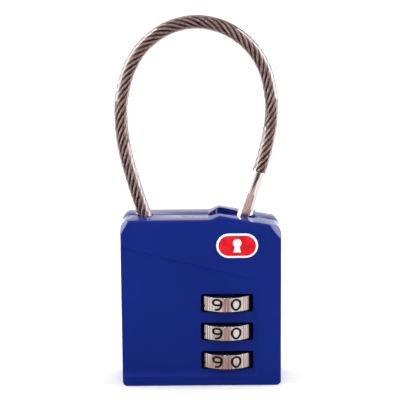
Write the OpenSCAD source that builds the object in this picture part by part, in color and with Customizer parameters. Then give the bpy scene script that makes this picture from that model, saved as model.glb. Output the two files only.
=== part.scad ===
// Luggage padlock: two-shell case, three number dials, wire shackle with a plug, and a key override.
// Frame: X across the case, Y from front to back, Z up. The origin is at the middle of the base.

/* [Case] */
// Width of the case
case_w = 32.4; // [31:0.1:40]
// Height of the flat left part of the top
case_h = 34.6; // [33.5:0.1:42]
// Thickness of the case, front face to back face
case_t = 12; // [11.6:0.1:16]
// Thickness of the case walls
wall = 1.2; // [0.9:0.05:1.4]
// Height of the hump on the top
hump_h = 0.8; // [0:0.1:2]
// Fall of the top from the hump to the right-hand corner
top_fall = 1.9; // [0.5:0.1:3]
// Radius of the upper corners
top_corner_r = 1.9; // [0.5:0.1:3]
// Radius of the lower corners
base_corner_r = 1; // [0.4:0.1:2]
// Depth of the sunk panel on the front
panel_depth = 0.3; // [0.1:0.05:0.5]

/* [Dials] */
// Radius of a number dial
dial_r = 6.3; // [5.6:0.1:6.4]
// Height of a number dial
dial_h = 2.9; // [2.4:0.1:3.2]
// Distance from one dial to the next
dial_pitch = 6; // [5.6:0.1:6.4]
// How far the dials stand out of the front face
dial_proud = 1.6; // [1:0.1:2]
// Width of a dial window
window_w = 10.6; // [9.8:0.1:11]
// Height of a dial window
window_h = 3.8; // [3.5:0.1:4.2]

/* [Shackle] */
// Diameter of the coated wire rope
cable_d = 2.85; // [2:0.05:3.2]
// Diameter of the plug
plug_d = 3.4; // [3:0.1:4.1]
// Length of the plug outside the case
plug_out = 9.5; // [7:0.5:12]
// Lean of the plug to the right, from upright
plug_lean = 18; // [14:0.5:22]
// Lean of the cable's fixed end to the left, from upright
anchor_lean = 16; // [10:1:20]
// Length of the plug inside the case
plug_in = 6.8; // [6.5:0.1:7.5]

/* [Key override] */
// Radius of the key core
core_r = 3.3; // [2.7:0.1:3.6]
// Thickness of the key housing's wall
housing_wall = 0.9; // [0.7:0.05:1.1]
// Number of wafers in the core
wafer_count = 5; // [3:1:6]

/* [Mechanism] */
// Drop of the spindle from open to locked
spindle_travel = 2.2; // [2:0.1:2.4]
// Travel of the latch for each millimetre that the spindle drops
latch_ratio = 0.5; // [0.4:0.05:0.5]
// Travel of the code-change button
reset_travel = 0.7; // [0.6:0.05:0.8]
// Running clearance round shafts, sleeves and the core
run_gap = 0.05; // [0.03:0.01:0.08]
// Clearance between pieces that pass each other
pass_gap = 0.1; // [0.08:0.01:0.15]

/* [Hidden] */
$fn = 48;
eps = 0.01;
far = 60;                                // longer than any cut needs
hole_l = 15;                             // long enough for a hole through the case's top

// Case
half_w = case_w / 2;
half_t = case_t / 2;
inner_y = half_t - wall;                 // inner faces of both covers
hump_x0 = 1.5;                           // where the hump starts
hump_x1 = 4;                             // where it is highest
roof_z = case_h - 2.3;                   // underside of the case's thick top
chassis_gap = 0.1;
chassis_y = inner_y - run_gap;

// Badge
badge_w = 8.4;
badge_h = 5;
badge_x = 7.3;
badge_z = 29.35;
badge_depth = 0.45;
badge_t = 0.6;

// Dials, from the base up
dial_x = 5.1;
dial_y = dial_r - half_t - dial_proud;
dial_z0 = 5.4;
top_dial_z = dial_z0 + 2 * dial_pitch;
bay_h = dial_h + 0.6;                    // room for a dial between two shelves of the chassis
dial_gap = 0.2;
window_shift = 0.12;                     // the windows sit a little right of the dials

// Sleeves inside the dials
sleeve_r = 3.1;
sleeve_h = dial_pitch - pass_gap;
sleeve_room_r = 2.3;
disc_h = 0.8;                            // blocking disc inside a sleeve
disc_bore_r = 1.25;
gate_w = 1.3;
tooth_w = 0.7;
tooth_r = 3.55;
tooth_h = 0.55;
tooth_z0 = -dial_h / 2 + run_gap;
notch_w = tooth_w + 0.24;
notch_z1 = -dial_h / 2 + tooth_h + pass_gap;

// Detent spring, at the left of the dials
nib_r = 0.45;
nib_angle = 18;
nib_x = dial_x - (dial_r + run_gap + nib_r) * cos(nib_angle);
nib_y = dial_y + (dial_r + run_gap + nib_r) * sin(nib_angle);
strip_x = dial_x - dial_r - 1.2;

// Spindle: three fins that pass the sleeves' gates, a collar and a wedge
shaft_r = 1;
fin_h = (spindle_travel - disc_h) - 0.6;
fin_z0 = disc_h / 2 + 0.3;
fin_reach = 2.1;
fin_w = 0.9;
sleeves_top = top_dial_z + sleeve_h / 2;
collar_r = 3;
collar_h = 0.6;
collar_z = sleeves_top + spindle_travel + 1.1;
wedge_z0 = collar_z + collar_h;
wedge_h = 2.6;
wedge_left = dial_x - 0.8;               // the wedge's left face, at its top
wedge_w = 2;
lug_z = collar_z - 1.2;                  // underside of the latch's arm
lug_h = 1.2;

// Plug, on its own leaning axis, w counted from the case's top
plug_x = 9.05;
plug_z = top_z(plug_x);
plug_r = plug_d / 2;
groove_mid = -4.3;
groove_h = 2.4;
groove_r = 0.8;
plug_tip = -plug_in;
taper_z = 2;                             // the plug tapers from here to the cable
flat_depth = 0.2;
flat_top = 4.7;
trough_x = hump_x1 + 0.9;                // wide and narrow ends of the trough in the top
trough_r = 3.4;
trough_end_r = plug_r + 0.2;

// Key core and cam
key_x = -8.2;
core_z0 = 0.4;
housing_z0 = wall + run_gap;
housing_top = 19.2;
housing_r = core_r + run_gap + housing_wall;
clip_h = 0.4;
core_top = housing_top + 1.2;
cam_z = core_top + 0.2;
cam_h = lug_z - cam_z - 0.25;
tail_w = 1.6;
cam_r = 1.5;
finger_w = 1.2;
finger_reach = 3.2;
tab_x1 = key_x - finger_w / 2 - pass_gap; // the face that the cam's finger pushes
tab_w = 1.2;
tab_d = 1.5;

// Latch
nose_h = 1;
nose_z = plug_z + groove_mid * cos(plug_lean);
nose_tip = plug_x + groove_mid * sin(plug_lean) - plug_r / cos(plug_lean) - 0.5;
latch_front = min(dial_y - 1.9, -finger_reach);
latch_back = 1.2;
latch_left = -2.6;
latch_mid_y = (latch_front + latch_back) / 2;
spring_z = 27.4;                         // height of the latch's spring
spring_l = 4;
latch_travel = spindle_travel * latch_ratio;

// Wafers along the core
wafer_t = 0.6;
wafer_z0 = 3.6;
wafer_step = (housing_top - wafer_z0 - 2) / wafer_count;

// Cable's fixed end, s counted from the case's top
anchor_x = -11.4;
anchor_z = top_z(anchor_x);
anchor_r = 2;
anchor_s1 = -(case_h - roof_z + 0.15 + anchor_r * sin(anchor_lean)) / cos(anchor_lean);
anchor_s0 = anchor_s1 - 4;

// Pins that hold the covers and the chassis together, as [x, z]
pin_r = 0.7;
pin_sink = 0.75;
pin_gap = 0.02;
pin_inset = wall + 1.6;
pin_places = [
    [-half_w + pin_inset, 3.4], [-half_w + pin_inset, 21.5],
    [half_w - pin_inset, 3.4], [half_w - pin_inset, 24]
];

// Places along the middle of the free cable, from its fixed end to the plug, as [x, height over case_h]
cable_route = [
    [-11.4, 0], [-12.6, 3.7], [-13.7, 7.4], [-14.7, 11], [-15.45, 14.8], [-15.85, 19], [-15.7, 23.8],
    [-14.15, 29.6], [-11.15, 34.35], [-6.4, 37.85], [-0.6, 39.15], [5.2, 37.85], [10, 34.4],
    [13.05, 29.6], [14.35, 23.8], [14.4, 20], [13.95, 16.4], [13.2, 13]
];

// Height of the case's top at x
function ease(t) = let (u = min(max(t, 0), 1)) u * u * (3 - 2 * u);
function top_z(x) = case_h + hump_h * ease((x - hump_x0) / (hump_x1 - hump_x0))
    - top_fall * max(0, x - hump_x1) / (half_w - hump_x1 - top_corner_r);

// Points of an arc about [cx, cz] in the XZ plane
function arc(cx, cz, r, a0, a1, n = 6) =
    [for (i = [0:n]) let (a = a0 + (a1 - a0) * i / n) [cx + r * cos(a), cz + r * sin(a)]];

// The case's outline, drawn in by d, as [x, z] points
function case_points(d = 0) =
    let (
        w = half_w - d, rt = max(top_corner_r - d, 0.2), rb = max(base_corner_r - d, 0.2),
        right = w - rt, left = -w + rt,
        steps = [for (i = [12:-1:0]) hump_x0 + (right - hump_x0) * i / 12]
    )
    concat(
        arc(-w + rb, d + rb, rb, 180, 270), arc(w - rb, d + rb, rb, 270, 360),
        arc(right, top_z(right) - d - rt, rt, 0, 90),
        [for (x = steps) if (x < right - eps) [x, top_z(x) - d]],
        arc(left, case_h - d - rt, rt, 90, 180)
    );

// A slab of an XZ outline between two depths
module slab(y0, y1) translate([0, y1, 0]) rotate([90, 0, 0]) linear_extrude(y1 - y0) children();

module at_dial(k = 0) translate([dial_x, dial_y, dial_z0 + k * dial_pitch]) children();
module on_plug_axis() translate([plug_x, 0, plug_z]) rotate([0, plug_lean, 0]) children();
module on_anchor_axis() translate([anchor_x, 0, anchor_z]) rotate([0, -anchor_lean, 0]) children();
module at_pins() for (p = pin_places) translate([p[0], 0, p[1]]) rotate([90, 0, 0]) children();

// A rod from z0 to z1
module rod(r, z0, z1) translate([0, 0, z0]) cylinder(r = r, h = z1 - z0);

// A ring from z0 to z1
module ring(r, hole, z0, z1) difference() {
    rod(r, z0, z1);
    rod(hole, z0 - 1, z1 + 1);
}

// A box given by its two corners
module box(low, high) translate(low) cube(high - low);

// Everything that is cut out of both covers
module case_cuts() {
    slab(-inner_y, inner_y) intersection() {
        polygon(case_points(wall));
        translate([-far, -far]) square([2 * far, far + roof_z]);
    }
    for (k = [0:2]) at_dial(k) translate([0, 0, -window_h / 2]) {
        cylinder(r = dial_r + dial_gap, h = window_h);
        translate([window_shift - window_w / 2, -far, 0]) cube([window_w, far, window_h]);
    }
    on_plug_axis() {
        rod(plug_r + 0.2, -hole_l / 2, hole_l / 2);
        translate([0, 0, -0.4]) cylinder(r1 = plug_r + 0.2, r2 = plug_r + 0.9, h = 0.8);
    }
    on_anchor_axis() rod(cable_d / 2 + 0.25, -hole_l / 2, hole_l / 2);
    translate([key_x, 0, 0]) rod(core_r + 0.15, -1, wall + 1);
    at_dial() rod(1.25, -dial_z0 - 1, -dial_z0 + wall + 1);
    at_pins() translate([0, 0, -inner_y - pin_sink])
        cylinder(r = pin_r + pin_gap, h = 2 * (inner_y + pin_sink));
    lead_in();
}

// The tapered trough in the top that leads the plug to its hole
module lead_in() translate([0, 0, plug_z - 1]) linear_extrude(far) {
    turn = asin((trough_r - trough_end_r) / (plug_x - trough_x));
    wide = trough_r * [sin(turn), cos(turn)];
    narrow = trough_end_r * [sin(turn), cos(turn)];
    translate([trough_x, 0]) circle(r = trough_r);
    translate([plug_x, 0]) circle(r = trough_end_r);
    polygon([
        [trough_x + wide[0], -wide[1]], [plug_x + narrow[0], -narrow[1]],
        [plug_x + narrow[0], narrow[1]], [trough_x + wide[0], wide[1]]
    ]);
}

// The sunk panel on the front, under a slanting crease
module panel() slab(-half_t - 1, -half_t + panel_depth)
    polygon([
        [-far, 2.6], [10.9, 2.6], [10.9, 20.4], [9.6, 22.6],
        [-half_w, 22.6 + (9.6 + half_w) * tan(14.6)], [-far, 22.6 + (9.6 + half_w) * tan(14.6)]
    ]);

// A bar with round ends, flat in the XZ plane
module pill(w, h) {
    square([w - h, h], center = true);
    for (s = [-1, 1]) translate([s * (w - h) / 2, 0]) circle(r = h / 2);
}

module badge_slab(y0, y1, grow) translate([badge_x, 0, badge_z]) slab(y0, y1)
    pill(badge_w + 2 * grow, badge_h + 2 * grow);

module front_cover() color("#1A2A7C") difference() {
    slab(-half_t, 0) polygon(case_points());
    case_cuts();
    panel();
    badge_slab(-half_t - 1, -half_t + badge_depth, run_gap);
}

module rear_cover() color("#1A2A7C") difference() {
    slab(0, half_t) polygon(case_points());
    case_cuts();
}

module badge() color("#C8202C") badge_slab(-half_t + badge_depth - badge_t, -half_t + badge_depth, 0);

// The die-cast frame inside the case: shelves for the dials, the key housing's bore and the latch's room
module chassis() color("#9A9C9E") difference() {
    slab(-chassis_y, chassis_y) intersection() {
        polygon(case_points(wall + chassis_gap));
        translate([-far, -far]) square([2 * far, far + roof_z - chassis_gap]);
    }
    for (k = [0:2]) at_dial(k)
        box([-dial_r - 0.5, -far, -bay_h / 2], [dial_r + 0.5, far, bay_h / 2]);
    at_dial() rod(sleeve_r + run_gap, -dial_z0 - 1, sleeves_top - dial_z0 + 1);
    translate([key_x, 0, 0]) {
        rod(housing_r + run_gap, -1, lug_z);
        box([-housing_r - run_gap, -far, -1], [housing_r + run_gap, 0, lug_z]);
    }
    detent_channel();
    latch_room();
    on_plug_axis() rod(plug_r + pass_gap, plug_tip - 0.4, hole_l / 2);
    on_anchor_axis() {
        rod(cable_d / 2 + 0.15, anchor_s1 - 1, hole_l / 2);
        rod(anchor_r + run_gap, anchor_s0 - run_gap, anchor_s1 + run_gap);
        box([-anchor_r - run_gap, -far, anchor_s0 - run_gap],
            [anchor_r + run_gap, 0, anchor_s1 + run_gap]);
    }
    at_pins() translate([0, 0, -far / 2]) cylinder(r = pin_r + pin_gap, h = far);
}

module detent_channel()
    box([strip_x - 0.2, nib_y - 1.4, dial_z0 - 2.9], [dial_x - dial_r, nib_y + 0.9, top_dial_z + 2.9]);

// Room for the latch, its lug, the spindle's head and the spring, open to the front
module latch_room() {
    low = sleeves_top + 0.05;
    high = wedge_z0 + wedge_h + 0.5;
    box([latch_left - 0.4, -far, low],
        [dial_x + collar_r + 0.4, max(dial_y + collar_r, latch_back) + 0.4, high]);
    box([latch_left - 0.4, -far, high - 1],
        [nose_tip + latch_travel + 0.3, latch_back + 0.3, nose_z + 1]);
    box([tab_x1 - 1.6, -far, lug_z - 0.3], [0, latch_back + 0.3, lug_z + lug_h + 0.3]);
    translate([0, latch_mid_y, spring_z]) rotate([0, 90, 0]) rod(1.35, latch_left - spring_l, latch_left);
}

module case_pins() color("#B8B8B8")
    at_pins() translate([0, 0, -inner_y - pin_sink + run_gap])
        cylinder(r = pin_r, h = 2 * (inner_y + pin_sink - run_gap));

// A number dial: ten places, with a pair of grip grooves between each two
module dial(k) color("#C9BDB8") at_dial(k) difference() {
    rod(dial_r, -dial_h / 2, dial_h / 2);
    rod(sleeve_r + run_gap, -dial_h, dial_h);
    rod(tooth_r + 0.15, notch_z1, notch_z1 + tooth_h + reset_travel - 0.2);
    for (i = [0:9]) rotate(36 * i)
        box([sleeve_r - 0.5, -notch_w / 2, -dial_h], [tooth_r + pass_gap, notch_w / 2, notch_z1 + eps]);
    for (i = [0:9], s = [-1, 1]) rotate(36 * i - 90 + 4 * s) translate([dial_r + 0.12, 0, -dial_h])
        cylinder(r = 0.32, h = 2 * dial_h, $fn = 24);
}

module dial_top() dial(2);
module dial_middle() dial(1);
module dial_bottom() dial(0);

// A code sleeve: teeth that hold it in its dial, and a disc whose gate lets the spindle's fin through
module sleeve(k) color("#4A4A4E") at_dial(k) difference() {
    union() {
        rod(sleeve_r, -sleeve_h / 2, sleeve_h / 2);
        for (i = [0:9]) rotate(36 * i)
            box([sleeve_r - 0.4, -tooth_w / 2, tooth_z0], [tooth_r, tooth_w / 2, tooth_z0 + tooth_h]);
    }
    rod(sleeve_room_r, -far, -disc_h / 2);
    rod(sleeve_room_r, disc_h / 2, far);
    rod(disc_bore_r, -1, 1);
    box([-gate_w / 2, 0, -1], [gate_w / 2, sleeve_room_r, 1]);
}

module sleeve_top() sleeve(2);
module sleeve_middle() sleeve(1);
module sleeve_bottom() sleeve(0);

module spindle() color("#8E9094") {
    at_dial() {
        rod(shaft_r, 0.2, collar_z - dial_z0 + eps);
        for (k = [0:2]) translate([0, 0, k * dial_pitch + fin_z0])
            box([-fin_w / 2, 0, 0], [fin_w / 2, fin_reach, fin_h]);
        rod(collar_r, collar_z - dial_z0, wedge_z0 - dial_z0);
    }
    slab(dial_y - wedge_w / 2, dial_y + wedge_w / 2) polygon([
        [wedge_left, wedge_z0 + wedge_h], [dial_x + 1, wedge_z0 + wedge_h],
        [dial_x + 1, wedge_z0 - eps], [wedge_left - latch_ratio * wedge_h, wedge_z0 - eps]
    ]);
}

// The latch's nose drops into the plug's groove; its slanting face rides on the spindle's wedge
module latch() color("#A8A28C") {
    face = wedge_left - pass_gap;
    face_top = wedge_z0 + wedge_h;
    face_low = wedge_z0 + pass_gap;
    slab(latch_front, latch_back) polygon([
        [latch_left, nose_z + nose_h / 2], [nose_tip, nose_z + nose_h / 2],
        [nose_tip, nose_z - nose_h / 2], [face, nose_z - nose_h / 2], [face, face_top],
        [face - latch_ratio * (face_top - face_low), face_low], [0.9, face_low],
        [0.9, lug_z], [tab_x1 - tab_w, lug_z], [tab_x1 - tab_w, lug_z + lug_h],
        [latch_left, lug_z + lug_h]
    ]);
    box([tab_x1 - tab_w, latch_front, cam_z + 2 * pass_gap], [tab_x1, latch_front + tab_d, lug_z + eps]);
}

module reset_button() color("#3A3C40") at_dial() {
    rod(1.1, 0.35 - dial_z0, wall + 0.4 - dial_z0);
    rod(2.9, wall + 0.3 - dial_z0, dial_z0 - sleeve_h / 2 - pass_gap - dial_z0);
}

// Three spring arms, each with a round nib against one dial
module detent_spring() color("#D0D2D4") {
    box([strip_x, nib_y - 1.1, dial_z0 - 2.7], [strip_x + 0.3, nib_y + 0.7, top_dial_z + 2.7]);
    for (k = [0:2]) translate([0, 0, dial_z0 + k * dial_pitch]) {
        box([strip_x + 0.2, nib_y - 0.3, -0.6], [nib_x, nib_y + 0.3, 0.6]);
        translate([nib_x, nib_y, -0.6]) cylinder(r = nib_r, h = 1.2, $fn = 24);
    }
}

// Sweeps a round section along 3-D points; side is a direction that the path never runs along
function unit(v) = v / norm(v);
function heading(path, i) = unit(path[min(i + 1, len(path) - 1)] - path[max(i - 1, 0)]);
function section(path, i, r, sides, side, t) =
    let (u = unit(cross(t, side)), v = cross(u, t))
    [for (j = [0:sides - 1]) let (a = 360 * j / sides) path[i] + r * (cos(a) * u + sin(a) * v)];
function headings(path, first, last) = [
    for (i = [0:len(path) - 1]) i == 0 && first ? unit(first) : i == len(path) - 1 && last ? unit(last)
        : heading(path, i)
];
module sweep(path, r, sides, side, first = undef, last = undef) {
    n = len(path);
    t = headings(path, first, last);
    points = [for (i = [0:n - 1]) each section(path, i, r, sides, side, t[i])];
    walls = [
        for (i = [0:n - 2], j = [0:sides - 1])
            let (a = i * sides + j, b = i * sides + (j + 1) % sides)
            each [[a, a + sides, b], [b, a + sides, b + sides]]
    ];
    ends = [[for (j = [0:sides - 1]) j], [for (j = [sides - 1:-1:0]) (n - 1) * sides + j]];
    polyhedron(points = points, faces = concat(walls, ends));
}

// Points of a coil about Z, from height 0 to h
function coil(r, h, turns, per_turn = 12) = [
    for (i = [0:turns * per_turn])
        let (a = 360 * i / per_turn) [r * cos(a), r * sin(a), h * i / (turns * per_turn)]
];

module sleeve_spring() color("#D0D2D4") {
    wire = 0.18;
    low = sleeves_top + wire + run_gap;
    translate([dial_x, dial_y, low])
        sweep(coil(2.7, collar_z - wire - run_gap - low, 3), wire, 6, [0, 0, 1]);
}

module latch_spring() color("#D0D2D4") {
    wire = 0.17;
    low = latch_left - spring_l + wire + run_gap;
    translate([low, latch_mid_y, spring_z]) rotate([0, 90, 0])
        sweep(coil(0.95, latch_left - wire - run_gap - low, 6), wire, 6, [0, 0, 1]);
}

// The crimped slug on the cable's fixed end
module cable_anchor() color("#B0B2B4") on_anchor_axis() rod(anchor_r, anchor_s0, anchor_s1);

// The free cable, with its two ends carried on into the anchor's and the plug's axes
function on_axis(x, z, lean, s) = [x + s * sin(lean), z + s * cos(lean)];
function smooth(p, i, t) =
    let (a = p[max(i - 1, 0)], b = p[i], c = p[i + 1], d = p[min(i + 2, len(p) - 1)])
    0.5 * (2 * b + t * (c - a) + t * t * (2 * a - 5 * b + 4 * c - d)
        + t * t * t * (3 * b - a - 3 * c + d));

module shackle_cable() color("#A08C88") {
    start = on_axis(anchor_x, anchor_z, -anchor_lean, anchor_s1);
    finish = [for (s = [plug_out + 1.5, plug_out]) on_axis(plug_x, plug_z, plug_lean, s)];
    line = concat([start], [for (p = cable_route) [p[0], case_h + p[1]]], finish);
    path = [
        for (i = [0:len(line) - 2], t = [0, 0.5]) let (q = smooth(line, i, t)) [q[0], 0, q[1]],
        [line[len(line) - 1][0], 0, line[len(line) - 1][1]]
    ];
    sweep(path, cable_d / 2, 8, [0, 1, 0],
        first = [-sin(anchor_lean), 0, cos(anchor_lean)], last = [-sin(plug_lean), 0, -cos(plug_lean)]);
}

// The plug: a crimp tube above, a flat for the fingers, and a grooved tip
module plug() color("#D8D4D2") on_plug_axis() difference() {
    union() {
        rod(plug_r, groove_mid + groove_h / 2, taper_z);
        translate([0, 0, taper_z]) cylinder(r1 = plug_r, r2 = cable_d / 2 + 0.05, h = plug_out - taper_z);
        rod(groove_r, groove_mid - groove_h, groove_mid + groove_h);
        rod(plug_r, plug_tip + 0.6, groove_mid - groove_h / 2);
        translate([0, 0, plug_tip]) cylinder(r1 = plug_r - 0.6, r2 = plug_r, h = 0.6);
    }
    box([-plug_r, -plug_r - 1, groove_mid], [plug_r, -plug_r + flat_depth, flat_top]);
}

module key_housing() color("#B08D57") translate([key_x, 0, 0]) difference() {
    rod(housing_r, housing_z0, housing_top);
    rod(core_r + run_gap, 0, housing_top + 1);
    box([-1.3, -core_r - 0.5, 0], [1.3, core_r + 0.5, housing_top + 1]);
}

module at_wafers() for (i = [0:wafer_count - 1])
    translate([key_x, 0, wafer_z0 + i * wafer_step]) children();

module key_core() color("#C9A86A") difference() {
    translate([key_x, 0, 0]) {
        rod(core_r, core_z0, housing_top + run_gap);
        rod(core_r - 0.5, housing_top, housing_top + clip_h + 0.1);
        rod(core_r, housing_top + clip_h + 0.05, core_top);
        box([-tail_w / 2, -tail_w / 2, core_top - eps], [tail_w / 2, tail_w / 2, cam_z + cam_h]);
    }
    translate([key_x, 0, 0]) box([-0.45, -2.3, 0], [0.45, 2.3, wafer_z0 + wafer_count * wafer_step]);
    at_wafers() box([-1.3, -core_r - 1, -run_gap], [1.3, core_r + 1, wafer_t + run_gap]);
}

// Brass wafers at the shear line, each with an opening for the key's blade
module wafers() color("#D6BE82") intersection() {
    translate([key_x, 0, 0]) rod(core_r - run_gap, 0, housing_top);
    at_wafers() difference() {
        box([-1.2, -core_r, 0], [1.2, core_r, wafer_t]);
        box([-0.5, -1.7, -1], [0.5, 1.7, 2]);
    }
}

module core_clip() color("#D0D2D4") translate([key_x, 0, 0]) difference() {
    ring(core_r + 0.5, core_r - 0.5 + run_gap, housing_top + run_gap, housing_top + clip_h);
    box([-1, 0, 0], [1, far, far]);
}

// The cam draws the latch back when the key turns
module key_cam() color("#8E9094") translate([key_x, 0, cam_z]) difference() {
    union() {
        cylinder(r = cam_r, h = cam_h);
        box([0, -finger_w / 2, 0], [finger_reach, finger_w / 2, cam_h]);
    }
    box([-tail_w / 2 - 0.02, -tail_w / 2 - 0.02, -1], [tail_w / 2 + 0.02, tail_w / 2 + 0.02, cam_h + 1]);
}

front_cover();
rear_cover();
badge();
chassis();
case_pins();
dial_top();
dial_middle();
dial_bottom();
sleeve_top();
sleeve_middle();
sleeve_bottom();
spindle();
sleeve_spring();
detent_spring();
latch();
latch_spring();
reset_button();
cable_anchor();
shackle_cable();
plug();
key_housing();
key_core();
wafers();
core_clip();
key_cam();
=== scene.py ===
import math

import bmesh
import bpy
from mathutils import Matrix, Vector


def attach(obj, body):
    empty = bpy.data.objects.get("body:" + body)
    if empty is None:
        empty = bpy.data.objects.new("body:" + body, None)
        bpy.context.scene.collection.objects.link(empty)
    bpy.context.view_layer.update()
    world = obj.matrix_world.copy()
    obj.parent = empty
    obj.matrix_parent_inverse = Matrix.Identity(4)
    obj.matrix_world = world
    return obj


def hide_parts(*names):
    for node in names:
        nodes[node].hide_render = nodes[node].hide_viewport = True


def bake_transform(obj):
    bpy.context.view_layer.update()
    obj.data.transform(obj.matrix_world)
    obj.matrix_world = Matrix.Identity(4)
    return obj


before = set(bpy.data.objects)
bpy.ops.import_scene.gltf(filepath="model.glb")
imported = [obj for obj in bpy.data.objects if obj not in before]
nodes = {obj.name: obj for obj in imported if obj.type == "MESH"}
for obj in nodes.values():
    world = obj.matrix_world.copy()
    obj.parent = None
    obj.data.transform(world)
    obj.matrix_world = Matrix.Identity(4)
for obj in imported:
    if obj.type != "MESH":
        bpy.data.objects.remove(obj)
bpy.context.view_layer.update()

MM = 0.001
CASE_W, CASE_H, CASE_T = 32.4, 34.6, 12.0
PARTING = 0.03                      # half of the fine gap between the two covers
EDGE = 0.35                         # fillet round the outer edges of the covers
PLUG_LEAN = math.radians(18)
ANCHOR_LEAN = math.radians(16)
CABLE_D = 2.85
PLUG_R = 1.7
PLUG_OUT = 9.5
PLUG_END_R = CABLE_D / 2 + 0.05

# Height of the case's top: flat, a short hump, then a slow fall to the right-hand corner
HUMP_X0, HUMP_X1, HUMP_H, TOP_FALL = 1.5, 4.0, 0.8, 1.9
CORNER_R, BASE_R = 1.9, 1.0


def ease(t):
    t = min(max(t, 0), 1)
    return t * t * (3 - 2 * t)


def top_z(x):
    fall = max(0, x - HUMP_X1) / (CASE_W / 2 - HUMP_X1 - CORNER_R)
    return CASE_H + HUMP_H * ease((x - HUMP_X0) / (HUMP_X1 - HUMP_X0)) - TOP_FALL * fall


PLUG_X = 9.05
PLUG_AXIS = Matrix.Translation((PLUG_X, 0, top_z(PLUG_X))) @ Matrix.Rotation(PLUG_LEAN, 4, "Y")
ANCHOR_X = -11.4
ANCHOR_AXIS = Matrix.Translation((ANCHOR_X, 0, CASE_H)) @ Matrix.Rotation(-ANCHOR_LEAN, 4, "Y")


# ---- Camera -------------------------------------------------------------------------------
def make_camera():
    data = bpy.data.cameras.new("camera")
    data.sensor_width = 36
    data.lens = 128
    data.clip_start, data.clip_end = 0.01, 20
    cam = bpy.data.objects.new("camera", data)
    bpy.context.scene.collection.objects.link(cam)
    bpy.context.scene.camera = cam
    lift, distance, roll = math.radians(11), 0.29, math.radians(-0.45)
    target = Vector((-0.0001, 0, 0.0376))
    back = Vector((0, -math.cos(lift), math.sin(lift)))
    cam.location = target + back * distance
    cam.rotation_mode = "QUATERNION"
    cam.rotation_quaternion = (-back).to_track_quat("-Z", "Y") @ Matrix.Rotation(roll, 4, "Z").to_quaternion()


make_camera()


# ---- Helpers ------------------------------------------------------------------------------
def srgb(code):
    """A #RRGGBB colour as a linear RGBA."""
    parts = [int(code[i:i + 2], 16) / 255 for i in (1, 3, 5)]
    return tuple(c / 12.92 if c <= 0.04045 else ((c + 0.055) / 1.055) ** 2.4 for c in parts) + (1,)


def add(tree, kind, links=None, stops=None, **settings):
    """Adds a node with its own settings, its sockets' values or what feeds them, and a ramp's stops."""
    n = tree.nodes.new(kind)
    for key, value in settings.items():
        setattr(n, key, value)
    for name, value in (links or {}).items():
        if isinstance(value, bpy.types.Node):
            value = value.outputs[0]
        if isinstance(value, bpy.types.NodeSocket):
            tree.links.new(value, n.inputs[name])
        else:
            n.inputs[name].default_value = value
    for i, (position, colour) in enumerate(stops or []):
        if i >= len(n.color_ramp.elements):
            n.color_ramp.elements.new(position)
        n.color_ramp.elements[i].position, n.color_ramp.elements[i].color = position, colour
    return n


def material(name):
    """A new material's own tree, and the place on the object that its patterns read."""
    m = bpy.data.materials.new(name)
    m.use_nodes = True
    m.node_tree.nodes.clear()
    return m, m.node_tree, add(m.node_tree, "ShaderNodeTexCoord").outputs["Object"]


def grey(v):
    return (v, v, v, 1)


def face_outwards(bm):
    """Turns a closed shape's faces outwards."""
    bmesh.ops.recalc_face_normals(bm, faces=bm.faces)
    if bm.calc_volume(signed=True) < 0:
        bmesh.ops.reverse_faces(bm, faces=bm.faces)


def to_object(name, bm, mat, body, smooth_deg=30, replaces=(), crisp_y=None):
    """Makes a bmesh in millimetres into a finished piece in metres that rides on a body.

    Edges that lie at the depth crisp_y stay crisp even where they turn only a little."""
    face_outwards(bm)
    bmesh.ops.scale(bm, vec=(MM, MM, MM), verts=bm.verts)
    limit = math.radians(smooth_deg)
    for f in bm.faces:
        f.smooth = True
    for e in bm.edges:
        on_face = crisp_y is not None and all(abs(v.co.y - crisp_y * MM) < 1e-6 for v in e.verts)
        turn = math.radians(8) if on_face else limit
        e.smooth = not (len(e.link_faces) == 2 and e.calc_face_angle(0) > turn)
    mesh = bpy.data.meshes.new(name)
    bm.to_mesh(mesh)
    bm.free()
    obj = bpy.data.objects.new(name, mesh)
    bpy.context.scene.collection.objects.link(obj)
    for m in mat if isinstance(mat, (list, tuple)) else [mat]:
        mesh.materials.append(m)
    if body:
        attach(obj, body)
    if replaces:
        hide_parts(*replaces)
    return obj


def applied(obj):
    """Applies an object's modifiers to its mesh."""
    dg = bpy.context.evaluated_depsgraph_get()
    made = bpy.data.meshes.new_from_object(obj.evaluated_get(dg), depsgraph=dg)
    old = obj.data
    obj.modifiers.clear()
    obj.data = made
    made.name = old.name
    bpy.data.meshes.remove(old)
    return obj


def temporary(name, bm):
    """A bmesh in millimetres as a temporary object, used to cut another."""
    face_outwards(bm)
    mesh = bpy.data.meshes.new(name)
    bm.to_mesh(mesh)
    bm.free()
    obj = bpy.data.objects.new(name, mesh)
    bpy.context.scene.collection.objects.link(obj)
    return obj


def cut(base, tools, operation="DIFFERENCE", crossing=False):
    """Cuts temporary objects out of a temporary object, one after another, and removes them.

    A tool whose own pieces cross one another is marked so."""
    for tool in tools:
        m = base.modifiers.new("cut", "BOOLEAN")
        m.operation, m.object, m.solver, m.use_self = operation, tool, "EXACT", crossing
        applied(base)
        bpy.data.objects.remove(tool)
    return base


def as_bmesh(obj):
    bm = bmesh.new()
    bm.from_mesh(obj.data)
    bpy.data.objects.remove(obj)
    return bm


def prism(points, y0, y1):
    """A bmesh of an outline in the XZ plane, from y0 to y1."""
    bm = bmesh.new()
    face = bm.faces.new([bm.verts.new((x, y0, z)) for x, z in points])
    made = bmesh.ops.extrude_face_region(bm, geom=[face])
    moved = [v for v in made["geom"] if isinstance(v, bmesh.types.BMVert)]
    bmesh.ops.translate(bm, vec=(0, y1 - y0, 0), verts=moved)
    bmesh.ops.recalc_face_normals(bm, faces=bm.faces)
    return bm


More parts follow.
